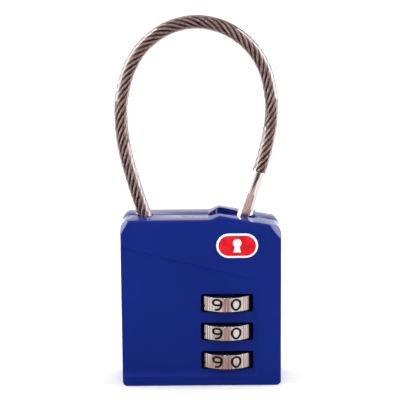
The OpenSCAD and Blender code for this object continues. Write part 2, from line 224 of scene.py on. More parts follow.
def cylinder(r0, r1, z0, z1, place=Matrix.Identity(4), segments=48):
    bm = bmesh.new()
    bmesh.ops.create_cone(
        bm, cap_ends=True, segments=segments, radius1=r0, radius2=r1, depth=z1 - z0,
        matrix=place @ Matrix.Translation((0, 0, (z0 + z1) / 2)))
    return bm


def block(low, high):
    bm = bmesh.new()
    bmesh.ops.create_cube(bm, size=1)
    size = [b - a for a, b in zip(low, high)]
    bmesh.ops.scale(bm, vec=size, verts=bm.verts)
    bmesh.ops.translate(bm, vec=[(a + b) / 2 for a, b in zip(low, high)], verts=bm.verts)
    return bm


def turned(profile, steps=64, place=Matrix.Identity(4)):
    """A profile of [radius, height] points spun about Z."""
    bm = bmesh.new()
    vs = [bm.verts.new((r, 0, z)) for r, z in profile]
    edges = [bm.edges.new(p) for p in zip(vs, vs[1:])]
    bmesh.ops.spin(
        bm, geom=vs + edges, cent=(0, 0, 0), axis=(0, 0, 1), angle=2 * math.pi, steps=steps, use_merge=True)
    bmesh.ops.remove_doubles(bm, verts=bm.verts, dist=1e-5)
    bmesh.ops.transform(bm, matrix=place, verts=bm.verts)
    return bm


def bevel(bm, edges, width, segments=3):
    if edges:
        bmesh.ops.bevel(
            bm, geom=edges, offset=width, offset_type="OFFSET", segments=segments, profile=0.5,
            affect="EDGES", material=-1, clamp_overlap=True)


# ---- Materials ----------------------------------------------------------------------------
def moulded_abs():
    """ABS coloured right through and moulded in a polished tool: deep blue under a glassy skin."""
    m, t, at = material("moulded_gloss_abs")
    # The pigment drifts over 18 mm, handling leaves a 1 mm haze, and the melt's flow ripples every 5 mm
    drift = add(t, "ShaderNodeTexNoise", {"Vector": at, "Scale": 1 / (18 * MM), "Detail": 2})
    colour = add(t, "ShaderNodeValToRGB", {"Fac": drift}, [(0.3, srgb("#11226C")), (0.7, srgb("#132572"))])
    haze = add(t, "ShaderNodeTexNoise", {"Vector": at, "Scale": 1 / (1.1 * MM), "Detail": 3})
    rough = add(t, "ShaderNodeValToRGB", {"Fac": haze}, [(0.35, grey(0.07)), (0.75, grey(0.15))])
    flow = add(t, "ShaderNodeTexNoise", {"Vector": at, "Scale": 1 / (5 * MM), "Detail": 1})
    skin = add(t, "ShaderNodeBump", {"Height": flow, "Strength": 0.15, "Distance": 2e-5})
    # Hairline scratches, drawn coarser than real ones so that they show
    slant = add(t, "ShaderNodeMapping", {"Vector": at, "Rotation": (0.3, 0.9, 0.2), "Scale": (1, 1, 14)})
    hair = add(t, "ShaderNodeTexNoise", {
        "Vector": slant, "Scale": 1 / (3 * MM), "Detail": 4, "Roughness": 0.7})
    line = add(t, "ShaderNodeValToRGB", {"Fac": hair}, [(0.66, grey(0)), (0.74, grey(1))])
    both = add(t, "ShaderNodeBump", {"Height": line, "Strength": 0.06, "Distance": 4e-6, "Normal": skin})
    s = add(t, "ShaderNodeBsdfPrincipled", {
        "Base Color": colour, "Roughness": rough, "IOR": 1.45, "Normal": both})
    add(t, "ShaderNodeOutputMaterial", {"Surface": s})
    return m


def metal(name, dark, light, low, high, size, stretch=(1, 1, 1), bump=0.15):
    """A metal whose marks run one way, size millimetres apart, as turned, ground, cast or drawn stock has."""
    m, t, at = material(name)
    grain = add(t, "ShaderNodeMapping", {"Vector": at, "Scale": stretch})
    n = add(t, "ShaderNodeTexNoise", {
        "Vector": grain, "Scale": 1 / (size * MM), "Detail": 4, "Roughness": 0.6})
    colour = add(t, "ShaderNodeValToRGB", {"Fac": n}, [(0.3, srgb(dark)), (0.7, srgb(light))])
    rough = add(t, "ShaderNodeValToRGB", {"Fac": n}, [(0.3, grey(low)), (0.7, grey(high))])
    marks = add(t, "ShaderNodeBump", {"Height": n, "Strength": bump, "Distance": 1e-5})
    s = add(t, "ShaderNodeBsdfPrincipled", {
        "Base Color": colour, "Metallic": 1.0, "Roughness": rough, "Normal": marks})
    add(t, "ShaderNodeOutputMaterial", {"Surface": s})
    return m


def enamel(name, deep, base, roughness):
    """Stoved enamel in a shallow tray: a wet gloss, pooled a little deeper in places."""
    m, t, at = material(name)
    n = add(t, "ShaderNodeTexNoise", {"Vector": at, "Scale": 1 / (2 * MM), "Detail": 2})
    colour = add(t, "ShaderNodeValToRGB", {"Fac": n}, [(0.35, srgb(deep)), (0.65, srgb(base))])
    skin = add(t, "ShaderNodeBump", {"Height": n, "Strength": 0.08, "Distance": 2e-5})
    s = add(t, "ShaderNodeBsdfPrincipled", {
        "Base Color": colour, "Roughness": roughness, "IOR": 1.5, "Normal": skin})
    add(t, "ShaderNodeOutputMaterial", {"Surface": s})
    return m


def plastic(name, deep, base, low, high, size):
    """Moulded plastic or filling paint with a fine, even grain that breaks up its gloss."""
    m, t, at = material(name)
    n = add(t, "ShaderNodeTexNoise", {
        "Vector": at, "Scale": 1 / (size * MM), "Detail": 3, "Roughness": 0.6})
    colour = add(t, "ShaderNodeValToRGB", {"Fac": n}, [(0.3, srgb(deep)), (0.7, srgb(base))])
    rough = add(t, "ShaderNodeValToRGB", {"Fac": n}, [(0.3, grey(low)), (0.7, grey(high))])
    skin = add(t, "ShaderNodeBump", {"Height": n, "Strength": 0.2, "Distance": 1e-5})
    s = add(t, "ShaderNodeBsdfPrincipled", {
        "Base Color": colour, "Roughness": rough, "IOR": 1.5, "Normal": skin})
    add(t, "ShaderNodeOutputMaterial", {"Surface": s})
    return m


def clear_vinyl():
    """Clear vinyl extruded over the rope: water-clear with a faint rose cast and a wet, reflecting skin."""
    m, t, at = material("clear_extruded_vinyl")
    # The extruder leaves a ripple every 2.5 mm
    n = add(t, "ShaderNodeTexNoise", {"Vector": at, "Scale": 1 / (2.5 * MM), "Detail": 2})
    skin = add(t, "ShaderNodeBump", {"Height": n, "Strength": 0.06, "Distance": 2e-5})
    s = add(t, "ShaderNodeBsdfPrincipled", {
        "Base Color": srgb("#F6EAEA"), "Roughness": 0.03, "IOR": 1.49, "Transmission Weight": 1.0,
        "Coat Weight": 0.7, "Coat Roughness": 0.04, "Coat IOR": 1.6, "Normal": skin})
    add(t, "ShaderNodeOutputMaterial", {"Surface": s})
    return m


SHELL = moulded_abs()
DIAL = metal("nickel_plated_zinc", "#C9BCB8", "#EDE6E3", 0.12, 0.24, 0.45, (1, 1, 0.08), 0.12)
PLUG = metal("bright_nickel_plate", "#E6E1DE", "#F6F3F1", 0.06, 0.13, 0.3, (1, 1, 8), 0.04)
COPPER_FLASH = metal("copper_flash_on_milled_flat", "#DDBBB2", "#EFD6CF", 0.14, 0.26, 0.35, (1, 1, 6), 0.1)
VINYL = clear_vinyl()
STRAND = metal("galvanised_rope_strand", "#6E5957", "#AF9E9B", 0.26, 0.42, 0.5)
# The rope heart is near black: partly the grease's own dark colour, partly painted shade for the gaps between
# the strands.
ROPE_HEART = plastic("greased_rope_heart_and_painted_gap_shade", "#170A0A", "#2B1516", 0.35, 0.6, 0.6)
RED = enamel("red_enamel", "#BE141F", "#D81F2A", 0.12)
WHITE = enamel("white_enamel", "#E6E2E0", "#F4F2F0", 0.18)
INK = plastic("black_filling_paint", "#060403", "#0E0807", 0.3, 0.45, 0.4)
BUTTON = plastic("black_moulded_nylon", "#141416", "#232326", 0.4, 0.55, 0.8)
# The die casting's dark colour is painted shade: it darkens the bays seen behind the dial windows.
DIE_CAST = metal("zinc_die_casting_painted_bay_shade", "#3B3539", "#4F484C", 0.38, 0.6, 0.7)
GROUND = metal("ground_steel", "#A5A5A8", "#C6C6C9", 0.2, 0.35, 0.9, (1, 1, 8))
SPRING = metal("drawn_spring_wire", "#B5B5B9", "#D7D7DA", 0.18, 0.3, 0.6, (1, 1, 6))
BRASS = metal("turned_brass", "#B08A45", "#D0AC66", 0.2, 0.34, 1.2, (1, 1, 10))
SLEEVE = metal("oiled_black_steel", "#2C2B2D", "#454346", 0.3, 0.5, 0.9, (1, 1, 6))
STAMPED = metal("stamped_latch_steel", "#96948F", "#B6B3AC", 0.28, 0.42, 0.9)

for name, mat in {
    "chassis": DIE_CAST, "case_pins": GROUND, "sleeve_top": SLEEVE, "sleeve_middle": SLEEVE,
    "sleeve_bottom": SLEEVE, "spindle": GROUND, "sleeve_spring": SPRING, "detent_spring": SPRING,
    "latch": STAMPED, "latch_spring": SPRING, "reset_button": BUTTON, "cable_anchor": GROUND,
    "key_housing": BRASS, "key_core": BRASS, "wafers": BRASS, "core_clip": SPRING, "key_cam": STAMPED,
    "front_cover": SHELL, "rear_cover": SHELL, "badge": RED, "dial_top": DIAL, "dial_middle": DIAL,
    "dial_bottom": DIAL, "plug": PLUG, "shackle_cable": VINYL,
}.items():
    nodes[name].data.materials.clear()
    nodes[name].data.materials.append(mat)


# ---- The cable ----------------------------------------------------------------------------
# Places along its middle, as the CAD model has them: x and height over the case's flat top
CABLE_ROUTE = [
    (-11.4, 0), (-12.6, 3.7), (-13.7, 7.4), (-14.7, 11), (-15.45, 14.8), (-15.85, 19), (-15.7, 23.8),
    (-14.15, 29.6), (-11.15, 34.35), (-6.4, 37.85), (-0.6, 39.15), (5.2, 37.85), (10, 34.4),
    (13.05, 29.6), (14.35, 23.8), (14.4, 20), (13.95, 16.4), (13.2, 13),
]


def smooth(p, i, t):
    """The place a share t of the way from point i to the next, on a smooth line through the points."""
    a, b, c, d = p[max(i - 1, 0)], p[i], p[i + 1], p[min(i + 2, len(p) - 1)]
    return 0.5 * (
        2 * b + t * (c - a) + t * t * (2 * a - 5 * b + 4 * c - d) + t ** 3 * (3 * b - a - 3 * c + d))


def cable_line(start_depth, step):
    """Points of the cable's middle, about step apart, from start_depth inside the case to the plug."""
    start = [ANCHOR_AXIS @ Vector((0, 0, -start_depth))] if start_depth else []
    plug_end = [PLUG_AXIS @ Vector((0, 0, s)) for s in (PLUG_OUT + 1.5, PLUG_OUT)]
    route = start + [Vector((x, 0, CASE_H + h)) for x, h in CABLE_ROUTE] + plug_end
    line = []
    for i in range(len(route) - 1):
        n = max(1, round((route[i + 1] - route[i]).length / step))
        line += [smooth(route, i, k / n) for k in range(n)]
    return line + [route[-1]]


def tube(line, radius, sides, side=Vector((0, 1, 0)), closed=False, lobes=None):
    """A tube about a line that never runs along side: a ring of points at each place, bridged to the next."""
    bm = bmesh.new()
    rings, run, n = [], 0.0, len(line)
    for i, p in enumerate(line):
        before, after = (i - 1, (i + 1) % n) if closed else (max(i - 1, 0), min(i + 1, n - 1))
        t = (line[after] - line[before]).normalized()
        u = t.cross(side).normalized()
        place_at = Matrix((u, t.cross(u), t)).transposed().to_4x4()
        place_at.translation = p
        ring = bmesh.ops.create_circle(bm, segments=sides, radius=radius, matrix=place_at)["verts"]
        if lobes:
            run += (p - line[i - 1]).length if i else 0
            count, depth, lay = lobes
            for k, v in enumerate(ring):
                a = count * (2 * math.pi * k / sides - 2 * math.pi * run / lay)
                v.co = p + (v.co - p) * (1 + depth * math.cos(a))
        rings.append(ring)
    for a, b in zip(rings, rings[1:] + rings[:1] if closed else rings[1:]):
        for k in range(sides):
            bm.faces.new((a[k], a[(k + 1) % sides], b[(k + 1) % sides], b[k]))
    if not closed:
        bm.faces.new(rings[0])
        bm.faces.new(rings[-1])
    return bm


def helix_line(line, radius, lay, turn):
    """A line that winds round another, lay millimetres a turn."""
    out, run = [], 0.0
    for i, p in enumerate(line):
        if i:
            run += (p - line[i - 1]).length
        t = (line[min(i + 1, len(line) - 1)] - line[max(i - 1, 0)]).normalized()
        u = t.cross(Vector((0, 1, 0))).normalized()
        v = t.cross(u)
        a = turn + 2 * math.pi * run / lay
        out.append(p + radius * (math.cos(a) * u + math.sin(a) * v))
    return out


def add_mesh(bm, other, matrix=None):
    """Adds another bmesh to bm and frees it."""
    if matrix is not None:
        bmesh.ops.transform(other, matrix=matrix, verts=other.verts)
    face_outwards(other)
    mesh = bpy.data.meshes.new("part")
    other.to_mesh(mesh)
    other.free()
    bm.from_mesh(mesh)
    bpy.data.meshes.remove(mesh)


def across_loop(obj):
    """Bakes a cable piece's placing into its mesh; the piece stays where it is made."""
    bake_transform(obj)


# Six strands of six wires round a greased heart, laid right-handed
STRANDS, STRAND_R, STRAND_AT, LAY = 6, 0.255, 0.69, 10.2
rope_line = cable_line(3, 0.32)
ropes = bmesh.new()
for k in range(STRANDS):
    winding = helix_line(rope_line, STRAND_AT, LAY, 2 * math.pi * k / STRANDS)
    add_mesh(ropes, tube(winding, STRAND_R, 18, lobes=(6, 0.09, 3.4)))
wire_rope = to_object("wire_rope", ropes, STRAND, None, 60)
across_loop(wire_rope)

# The heart's near-black colour is partly painted shade showing in the gaps between the strands.
rope_heart = to_object("rope_heart", tube(cable_line(3, 0.8), 0.52, 16), ROPE_HEART, None, 60)
across_loop(rope_heart)

cable_coat = to_object(
    "cable_coat", tube(cable_line(3, 0.6), CABLE_D / 2, 40), VINYL, None, 50, ["shackle_cable"])
across_loop(cable_coat)
[p * MM for p in cable_line(0, 0.8)]


# ---- Covers -------------------------------------------------------------------------------
DIAL_X, DIAL_R, DIAL_H, DIAL_Z0, DIAL_PITCH = 5.1, 6.3, 2.9, 5.4, 6.0
DIAL_Y = DIAL_R - CASE_T / 2 - 1.6
DIAL_ZS = {"dial_bottom": DIAL_Z0, "dial_middle": DIAL_Z0 + DIAL_PITCH, "dial_top": DIAL_Z0 + 2 * DIAL_PITCH}
WALL, ROOF_Z = 1.2, CASE_H - 2.3
KEY_X = -8.2


def arc(cx, cz, r, a0, a1, n=10):
    steps = [math.radians(a0 + (a1 - a0) * i / n) for i in range(n + 1)]
    return [(cx + r * math.cos(a), cz + r * math.sin(a)) for a in steps]


def outline(d=0.0):
    """The case's outline, drawn in by d, as [x, z] points."""
    w, rt, rb = CASE_W / 2 - d, max(CORNER_R - d, 0.2), max(BASE_R - d, 0.2)
    right, left = w - rt, rt - w
    hump = [HUMP_X1 - (HUMP_X1 - HUMP_X0) * i / 12 for i in range(13)]
    slope = [right - (right - HUMP_X1) * i / 8 for i in range(1, 8)]
    return (
        arc(rb - w, d + rb, rb, 180, 270) + arc(w - rb, d + rb, rb, 270, 360)
        + arc(right, top_z(right) - d - rt, rt, 0, 90)
        + [(x, top_z(x) - d) for x in slope + hump]
        + arc(left, CASE_H - d - rt, rt, 90, 180))


def turned_hole(r, z0, z1, place_at, segments=48):
    return temporary("hole", cylinder(r, r, z0, z1, place_at, segments))


def loft(sections):
    """A closed solid through outlines of [x, z] points, each at its own y."""
    bm = bmesh.new()
    loops = []
    for points, y in sections:
        vs = [bm.verts.new((x, y, z)) for x, z in points]
        loops.append([bm.edges.new((a, b)) for a, b in zip(vs, vs[1:] + vs[:1])])
    for ring in (loops[0], loops[-1]):
        bmesh.ops.contextual_create(bm, geom=ring)
    for a, b in zip(loops, loops[1:]):
        bmesh.ops.bridge_loops(bm, edges=a + b)
    bmesh.ops.recalc_face_normals(bm, faces=bm.faces)
    return bm


TROUGH_R = 3.4


def trough():
    """The tapered trough in the top that leads the plug to its hole."""
    x0, r0, r1 = HUMP_X1 + 0.9, TROUGH_R, PLUG_R + 0.2
    turn = math.asin((r0 - r1) / (PLUG_X - x0))
    left = [(x0 + r0 * math.cos(a), r0 * math.sin(a))
            for a in [math.pi / 2 - turn + (math.pi + 2 * turn) * i / 24 for i in range(25)]]
    right = [(PLUG_X + r1 * math.cos(a), r1 * math.sin(a))
             for a in [-math.pi / 2 + turn + (math.pi - 2 * turn) * i / 20 for i in range(21)]]
    bm = bmesh.new()
    z = top_z(PLUG_X) - 1
    face = bm.faces.new([bm.verts.new((x, y, z)) for x, y in left + right])
    made = bmesh.ops.extrude_face_region(bm, geom=[face])
    top = [v for v in made["geom"] if isinstance(v, bmesh.types.BMVert)]
    bmesh.ops.translate(bm, vec=(0, 0, 6), verts=top)
    bmesh.ops.recalc_face_normals(bm, faces=bm.faces)
    bevel(bm, [e for e in bm.edges if all(v.co.z < z + 0.01 for v in e.verts)], 0.6, 4)
    return temporary("trough", bm)


WINDOW_X, WINDOW_W, WINDOW_H = 5.22, 10.6, 3.75


def window(z):
    """A window for the dial at height z, with rounded corners."""
    half_w, half_h = WINDOW_W / 2, WINDOW_H / 2
    bm = block((WINDOW_X - half_w, -9, z - half_h), (WINDOW_X + half_w, -2, z + half_h))
    bevel(bm, [e for e in bm.edges if abs(e.verts[0].co.y - e.verts[1].co.y) > 1], 0.3, 3)
    return temporary("window", bm)


def shared_cuts():
    """What is cut out of both covers: the hollow, the dials' room and the holes in the top and base."""
    hollow = prism([(x, min(z, ROOF_Z)) for x, z in outline(WALL)], -CASE_T / 2 + WALL, CASE_T / 2 - WALL)
    bmesh.ops.remove_doubles(hollow, verts=hollow.verts, dist=1e-4)
    bmesh.ops.dissolve_degenerate(hollow, dist=1e-4, edges=hollow.edges)
    tools = [temporary("hollow", hollow)]
    for z in DIAL_ZS.values():
        tools.append(turned_hole(DIAL_R + 0.2, z - 1.9, z + 1.9, Matrix.Translation((DIAL_X, DIAL_Y, 0)), 96))
    tools.append(trough())
    tools.append(turned_hole(PLUG_R + 0.2, -7.5, 7.5, PLUG_AXIS))
    tools.append(temporary("mouth", cylinder(PLUG_R + 0.2, PLUG_R + 0.9, -0.45, 0.35, PLUG_AXIS, 64)))
    tools.append(turned_hole(CABLE_D / 2 + 0.25, -7.5, 7.5, ANCHOR_AXIS))
    tools.append(turned_hole(3.45, -1, WALL + 1, Matrix.Translation((KEY_X, 0, 0)), 64))
    tools.append(turned_hole(1.25, -1, WALL + 1, Matrix.Translation((DIAL_X, DIAL_Y, 0)), 40))
    return tools


def panel():
    """The sunk panel on the front: a crisp slanting crease above, soft steps at its right and foot."""
    left, front = -CASE_W / 2 - 1, -CASE_T / 2
    foot, right, top = 2.6, 10.9, 22.6
    depth, flare, dip, soft = 0.3, 1.15, 0.5, 0.6
    rise = (9.6 - left) * math.tan(math.radians(14.6))

    def edge(t):
        side, drop = soft * (1 - 2 * t * (2 - t)), flare * t
        return [(left, foot - side), (right + side, foot - side), (right + side, 20.4 - drop),
                (9.6 + side, top - drop), (left, top - drop + rise)]

    def sunk(t):
        return front + depth * t * (2 - t) + dip * t * (1 - t) ** 2

    steps = [i / 8 for i in range(9)]
    return temporary("panel", loft([(edge(0), front - 1)] + [(edge(t), sunk(t)) for t in steps]))


def pill(w, h, n=16):
    """The outline of a bar with round ends, as [x, z] points."""
    a = [math.pi / 2 + math.pi * i / n for i in range(n + 1)]
    left = [(-(w - h) / 2 + h / 2 * math.cos(t), h / 2 * math.sin(t)) for t in a]
    return left + [(-x, -z) for x, z in left]


BADGE_X, BADGE_Z, BADGE_W, BADGE_H = 7.3, 29.35, 8.4, 5.0


def badge_points(grow):
    return [(BADGE_X + x, BADGE_Z + z) for x, z in pill(BADGE_W + 2 * grow, BADGE_H + 2 * grow)]


def cover(name, y0, y1, outer_y, extra):
    """One of the two covers, from y0 to y1, with its own cuts as well as the shared ones."""
    bm = prism(outline(), y0, y1)
    rim = [e for e in bm.edges if all(abs(v.co.y - outer_y) < 1e-4 for v in e.verts)]
    bevel(bm, rim, EDGE, 4)
    inner_y = y0 + y1 - outer_y
    seam = [e for e in bm.edges if all(abs(v.co.y - inner_y) < 1e-4 for v in e.verts)]
    bevel(bm, seam, 0.22, 2)
    base = temporary(name, bm)
    cut(base, extra + shared_cuts())
    bm = as_bmesh(base)
    bmesh.ops.remove_doubles(bm, verts=bm.verts, dist=0.004)
    bmesh.ops.dissolve_limit(bm, angle_limit=math.radians(0.5), verts=bm.verts, edges=bm.edges)
    stands_for = [name.replace("shell", "cover")]
    obj = to_object(name, bm, SHELL, "case", 30, stands_for, crisp_y=outer_y)
    soft = obj.modifiers.new("edges", "BEVEL")
    soft.width, soft.segments, soft.limit_method = 0.12 * MM, 2, "ANGLE"
    soft.angle_limit = math.radians(32)
    soft.harden_normals = True
    soft.miter_outer = "MITER_ARC"
    return obj


def corner_cut(a, b, c):
    """What a flat facet through three points takes off a corner."""
    a, b, c = Vector(a), Vector(b), Vector(c)
    out = (b - a).cross(c - a).normalized()
    out *= 1 if out.z > 0 else -1
    along = (b - a).normalized()
    place_at = Matrix((along, out.cross(along), out)).transposed().to_4x4()
    place_at.translation = (a + b + c) / 3
    bm = block((-5, -5, 0), (5, 5, 5))
    bmesh.ops.transform(bm, matrix=place_at, verts=bm.verts)
    return temporary("corner", bm)


badge_pocket = temporary("pocket", prism(badge_points(0.05), -CASE_T / 2 - 1, -CASE_T / 2 + 0.45))
facets = [corner_cut((14.5, -6, 32.6), (16.2, -6, 30.5), (15.8, -5.25, 32.2)),
          corner_cut((-15, -6, 33.7), (-16.1, -6, 31.8), (-15.8, -5.4, 33.3))]
front_shell = cover("front_shell", -CASE_T / 2, -PARTING, -CASE_T / 2,
                    [panel(), badge_pocket] + [window(z) for z in DIAL_ZS.values()] + facets)
rear_shell = cover("rear_shell", PARTING, CASE_T / 2, CASE_T / 2, [])

# ---- Badge --------------------------------------------------------------------------------
BADGE_FRONT = -CASE_T / 2 - 0.15
plate = prism(badge_points(0), BADGE_FRONT, -CASE_T / 2 + 0.44)
bevel(plate, [e for e in plate.edges if all(v.co.y < BADGE_FRONT + 0.01 for v in e.verts)], 0.12, 3)
pocket = temporary("pocket", prism(badge_points(-0.42), BADGE_FRONT - 1, BADGE_FRONT + 0.14))
plate = as_bmesh(cut(temporary("plate", plate), [pocket]))
badge_rim = to_object("badge_rim", plate, WHITE, "case", 30, ["badge"])

field = prism(badge_points(-0.43), BADGE_FRONT + 0.02, BADGE_FRONT + 0.2)
bevel(field, [e for e in field.edges if all(v.co.y < BADGE_FRONT + 0.03 for v in e.verts)], 0.08, 2)
badge_field = to_object("badge_field", field, RED, "case", 30)

bow = [(BADGE_X + x, BADGE_Z + 0.55 + z) for x, z in pill(1.701, 1.7, 16)]
foot = [(BADGE_X - 0.36, BADGE_Z + 0.3), (BADGE_X - 0.75, BADGE_Z - 1.35),
        (BADGE_X + 0.75, BADGE_Z - 1.35), (BADGE_X + 0.36, BADGE_Z + 0.3)]
sign_bow = prism(bow, BADGE_FRONT - 0.03, BADGE_FRONT + 0.1)
sign_foot = prism(foot, BADGE_FRONT - 0.029, BADGE_FRONT + 0.099)
sign = as_bmesh(cut(temporary("sign", sign_bow), [temporary("foot", sign_foot)], "UNION"))
badge_sign = to_object("badge_sign", sign, WHITE, "case", 30)

# ---- Dials --------------------------------------------------------------------------------
PLATEAU = 6.21                      # from the dial's middle to the flats that carry the figures
FLAT_ANGLES = [-8.6, -4.3, 0, 4.3, 8.6]
RIB = [(0, 6.1), (1.3, 6.27), (2.75, 6.3), (4.2, 6.27)]
FIGURE_W, FIGURE_H, STROKE_R = 1.74, 2.1, 0.24
RIM = 0.06                          # chamfer round a dial's two rims

# The figures as strokes on a field one wide and one high; a closed stroke is marked so
FIGURES = {
    "0": [(True, [(0.3, 0), (0.7, 0), (1, 0.35), (1, 0.75), (0.75, 1), (0.25, 1), (0, 0.75), (0, 0.35)])],
    "1": [(False, [(0.2, 0.78), (0.55, 1), (0.55, 0)])],
    "2": [(False, [(0, 0.78), (0.15, 1), (0.85, 1), (1, 0.8), (0.95, 0.6), (0, 0), (1, 0)])],
    "3": [(False, [(0, 1), (0.95, 1), (0.5, 0.6), (0.85, 0.55), (1, 0.3), (0.85, 0), (0.2, 0), (0, 0.16)])],
    "4": [(False, [(0.72, 0), (0.72, 1), (0, 0.3), (1, 0.3)])],
    "5": [(False, [(0.95, 1), (0.12, 1), (0.05, 0.56), (0.8, 0.6), (1, 0.4), (0.95, 0.05), (0.2, 0),
                   (0, 0.14)])],
    "6": [(True, [(0.15, 0), (0.85, 0), (1, 0.25), (0.9, 0.54), (0.1, 0.54), (0, 0.25)]),
          (False, [(0, 0.3), (0.05, 0.72), (0.3, 0.96), (0.8, 1)])],
    "7": [(False, [(0, 1), (1, 1), (0.6, 0.45), (0.45, 0)])],
    "8": [(True, [(0.2, 0), (0.8, 0), (1, 0.25), (0.85, 0.52), (0.15, 0.52), (0, 0.25)]),
          (True, [(0.2, 0.52), (0.8, 0.52), (0.95, 0.76), (0.8, 1), (0.2, 1), (0.05, 0.76)])],
    "9": [(True, [(0.1, 0.46), (0.9, 0.46), (1, 0.75), (0.85, 1), (0.15, 1), (0, 0.75)]),
          (False, [(1, 0.7), (0.95, 0.28), (0.7, 0.04), (0.2, 0)])],
}


def rounded(points, closed):
    """Cuts the corners of a stroke twice, which rounds them."""
    for _ in range(2):
        pairs = list(zip(points, points[1:] + points[:1] if closed else points[1:]))
        out = [] if closed else [points[0]]
        for a, b in pairs:
            out += [a.lerp(b, 0.25), a.lerp(b, 0.75)]
        points = out if closed else out + [points[-1]]
    return points


def figure(name, radius, sides, sink=0.0, squash=1.0):
    """A figure's strokes as round tubes, sunk and flattened, its middle at the origin."""
    bm = bmesh.new()
    for closed, stroke in FIGURES[name]:
        line = [Vector(((x - 0.5) * FIGURE_W, (y - 0.5) * FIGURE_H, 0)) for x, y in stroke]
        add_mesh(bm, tube(rounded(line, closed), radius, sides, Vector((0, 0, 1)), closed))
    bmesh.ops.scale(bm, vec=(1, 1, squash), verts=bm.verts)
    bmesh.ops.translate(bm, vec=(0, 0, -sink), verts=bm.verts)
    return bm


def on_flat(digit):
    """The frame of a figure's flat on a dial at the origin: x to the reader's right, y up, z outwards."""
    angle = math.radians(-72 + 36 * digit)
    out = Vector((math.cos(angle), math.sin(angle), 0))
    place_at = Matrix((Vector((0, 0, 1)).cross(out), Vector((0, 0, 1)), out)).transposed().to_4x4()
    place_at.translation = out * PLATEAU
    return place_at


def drum():
    """A dial's body: ten flats with three grip ribs between each two, and chamfered rims."""
    rim = []
    for k in range(10):
        start = -72 + 36 * k
        rim += [(start + a, PLATEAU / math.cos(math.radians(a))) for a in FLAT_ANGLES]
        for rib in range(3):
            rim += [(start + 9.6 + 5.6 * rib + a, r) for a, r in RIB]
        rim.append((start + 26.4, 6.1))
    bm = bmesh.new()
    loops, half = [], DIAL_H / 2
    for z, grow in [(-half, -RIM), (RIM - half, 0), (half - RIM, 0), (half, -RIM)]:
        places = [(math.radians(a), r + grow) for a, r in rim]
        vs = [bm.verts.new((r * math.cos(a), r * math.sin(a), z)) for a, r in places]
        loops.append([bm.edges.new((a, b)) for a, b in zip(vs, vs[1:] + vs[:1])])
    for end in (loops[0], loops[-1]):
        bmesh.ops.contextual_create(bm, geom=end)
    for a, b in zip(loops, loops[1:]):
        bmesh.ops.bridge_loops(bm, edges=a + b)
    return bm


engraver = bmesh.new()
paint = bmesh.new()
for digit in range(10):
    add_mesh(engraver, figure(str(digit), STROKE_R, 10), on_flat(digit))
    add_mesh(paint, figure(str(digit), STROKE_R * 0.98, 10, 0.05, 0.25), on_flat(digit))
engraved = cut(temporary("dial", drum()), [temporary("engraver", engraver)], crossing=True)
bore = temporary("bore", cylinder(3.18, 3.18, -2, 2, segments=96))
engraved = as_bmesh(cut(engraved, [bore]))
bmesh.ops.remove_doubles(engraved, verts=engraved.verts, dist=1e-4)
bmesh.ops.holes_fill(engraved, edges=[e for e in engraved.edges if e.is_boundary], sides=8)
for body, z in DIAL_ZS.items():
    for name, source, mat, stands_for in (
            ("number_dial_", engraved, DIAL, [body]), ("figures_", paint, INK, [])):
        bm = source.copy()
        bmesh.ops.translate(bm, vec=(DIAL_X, DIAL_Y, z), verts=bm.verts)
        to_object(body.replace("dial_", name), bm, mat, body, 24, stands_for)

# ---- Plug ---------------------------------------------------------------------------------
lip = CABLE_D / 2 - 0.05              # the crimped end hugs the cable
bm = turned([
    (0, -6.8), (1.1, -6.8), (1.35, -6.62), (1.62, -6.32), (PLUG_R, -6.1), (PLUG_R, -5.56),
    (1.64, -5.5), (0.86, -5.5), (0.8, -5.44), (0.8, -3.16), (0.86, -3.1), (1.64, -3.1),
    (PLUG_R, -3.04), (PLUG_R, 2.0), (1.59, 5.5), (PLUG_END_R, PLUG_OUT - 0.12),
    (PLUG_END_R - 0.03, PLUG_OUT - 0.04), (PLUG_END_R - 0.1, PLUG_OUT), (lip + 0.02, PLUG_OUT),
    (lip, PLUG_OUT - 0.07), (lip, PLUG_OUT - 1), (0, PLUG_OUT - 1)], 64)
plug = temporary("plug_body", bm)
tool = block((-3, -4, -5.5), (3, 0, 3.5))
slant = (Matrix.Rotation(math.radians(-9), 4, "Z") @ Matrix.Translation((0, -PLUG_R + 0.2, 1.2))
         @ Matrix.Rotation(math.radians(-0.9), 4, "X"))
bmesh.ops.transform(tool, matrix=slant, verts=tool.verts)
bm = as_bmesh(cut(plug, [temporary("flat", tool)]))
for f in bm.faces:
    f.normal_update()
    f.material_index = int(f.normal.y < -0.97 and f.calc_area() > 3)
bmesh.ops.transform(bm, matrix=PLUG_AXIS, verts=bm.verts)
plug_tube = to_object("plug_tube", bm, [PLUG, COPPER_FLASH], "plug", 28, ["plug"])
soft = plug_tube.modifiers.new("edges", "BEVEL")
soft.width, soft.segments, soft.limit_method, soft.angle_limit = 0.05 * MM, 2, "ANGLE", math.radians(30)
soft.harden_normals = True

# ---- Springs ------------------------------------------------------------------------------
SLEEVES_TOP, COLLAR_Z = 20.35, 23.65


def coil(radius, length, turns):
    """Points of a coil about Z, twenty to a turn."""
    n, step = turns * 20, 2 * math.pi / 20
    return [Vector((radius * math.cos(step * i), radius * math.sin(step * i), length * i / n))
            for i in range(n + 1)]


UP = Vector((0, 0, 1))
bm = tube(coil(2.7, COLLAR_Z - SLEEVES_TOP - 0.46, 3), 0.18, 10, UP)
bmesh.ops.translate(bm, vec=(DIAL_X, DIAL_Y, SLEEVES_TOP + 0.23), verts=bm.verts)
spindle_spring = to_object("spindle_spring", bm, SPRING, None, 60, ["sleeve_spring"])
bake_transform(spindle_spring)

bm = tube(coil(0.95, 3.56, 6), 0.17, 10, UP)
sideways = Matrix.Translation((-6.38, -1.0, 27.4)) @ Matrix.Rotation(math.radians(90), 4, "Y")
bmesh.ops.transform(bm, matrix=sideways, verts=bm.verts)
side_spring = to_object("side_spring", bm, SPRING, None, 60, ["latch_spring"])
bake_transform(side_spring)

